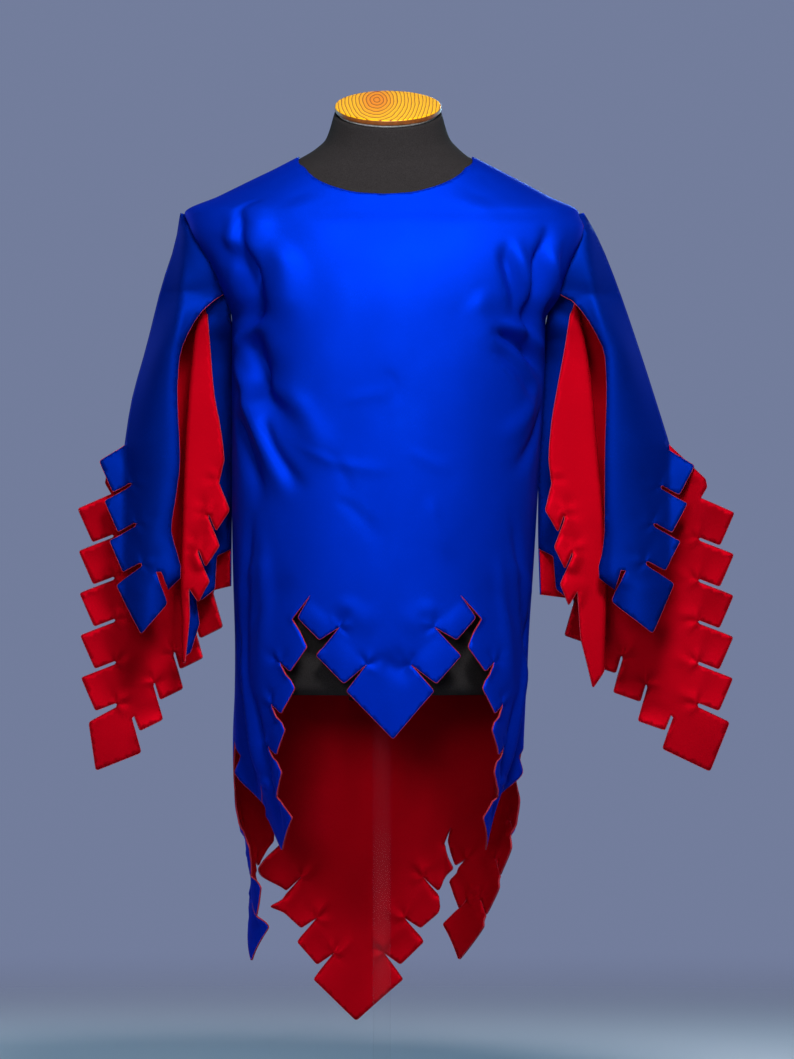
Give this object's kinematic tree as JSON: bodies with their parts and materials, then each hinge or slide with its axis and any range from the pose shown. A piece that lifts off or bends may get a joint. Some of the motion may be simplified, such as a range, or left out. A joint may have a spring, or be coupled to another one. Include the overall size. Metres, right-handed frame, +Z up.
{
  "type": "medieval surcoat on dress form",
  "caption": "Hip-length blue medieval surcoat with red lining, slit hanging sleeves and square-tabbed dagged hems, on a limbless dress form with round stand",
  "frame": {"origin": "middle of the part's footprint box at the underside of the base", "axes": "+Z up, -Y the way the wearer faces, +X to the wearer's left"},
  "size_m": [0.8358, 0.33, 1.2906],
  "materials": {
    "blue_cloth": "smooth twill cotton with a soft sheen",
    "red_lining": "smooth lining cotton with a soft sheen",
    "black_jersey": "matt black jersey",
    "varnished_wood": "gloss varnish",
    "white_rim": "matt white",
    "dark_steel": "satin black paint",
    "clear_acrylic": "clear polished acrylic"
  },
  "bodies": {
    "root": {"front_panel": "blue_cloth", "back_panel": "blue_cloth", "sleeve_left_front": "blue_cloth", "sleeve_left_back": "blue_cloth", "sleeve_left_strip": "blue_cloth", "sleeve_right_front": "blue_cloth", "sleeve_right_back": "blue_cloth", "sleeve_right_strip": "blue_cloth", "back_lining": "red_lining", "sleeve_left_back_lining": "red_lining", "sleeve_right_back_lining": "red_lining", "sleeve_left_strip_lining": "red_lining", "sleeve_right_strip_lining": "red_lining", "form_torso": "black_jersey", "neck_rim": "white_rim", "neck_cap": "varnished_wood", "stand_base": "dark_steel", "stand_collar": "dark_steel", "stand_pole": "clear_acrylic", "stand_flange": "dark_steel"}
  },
  "joints": []
}
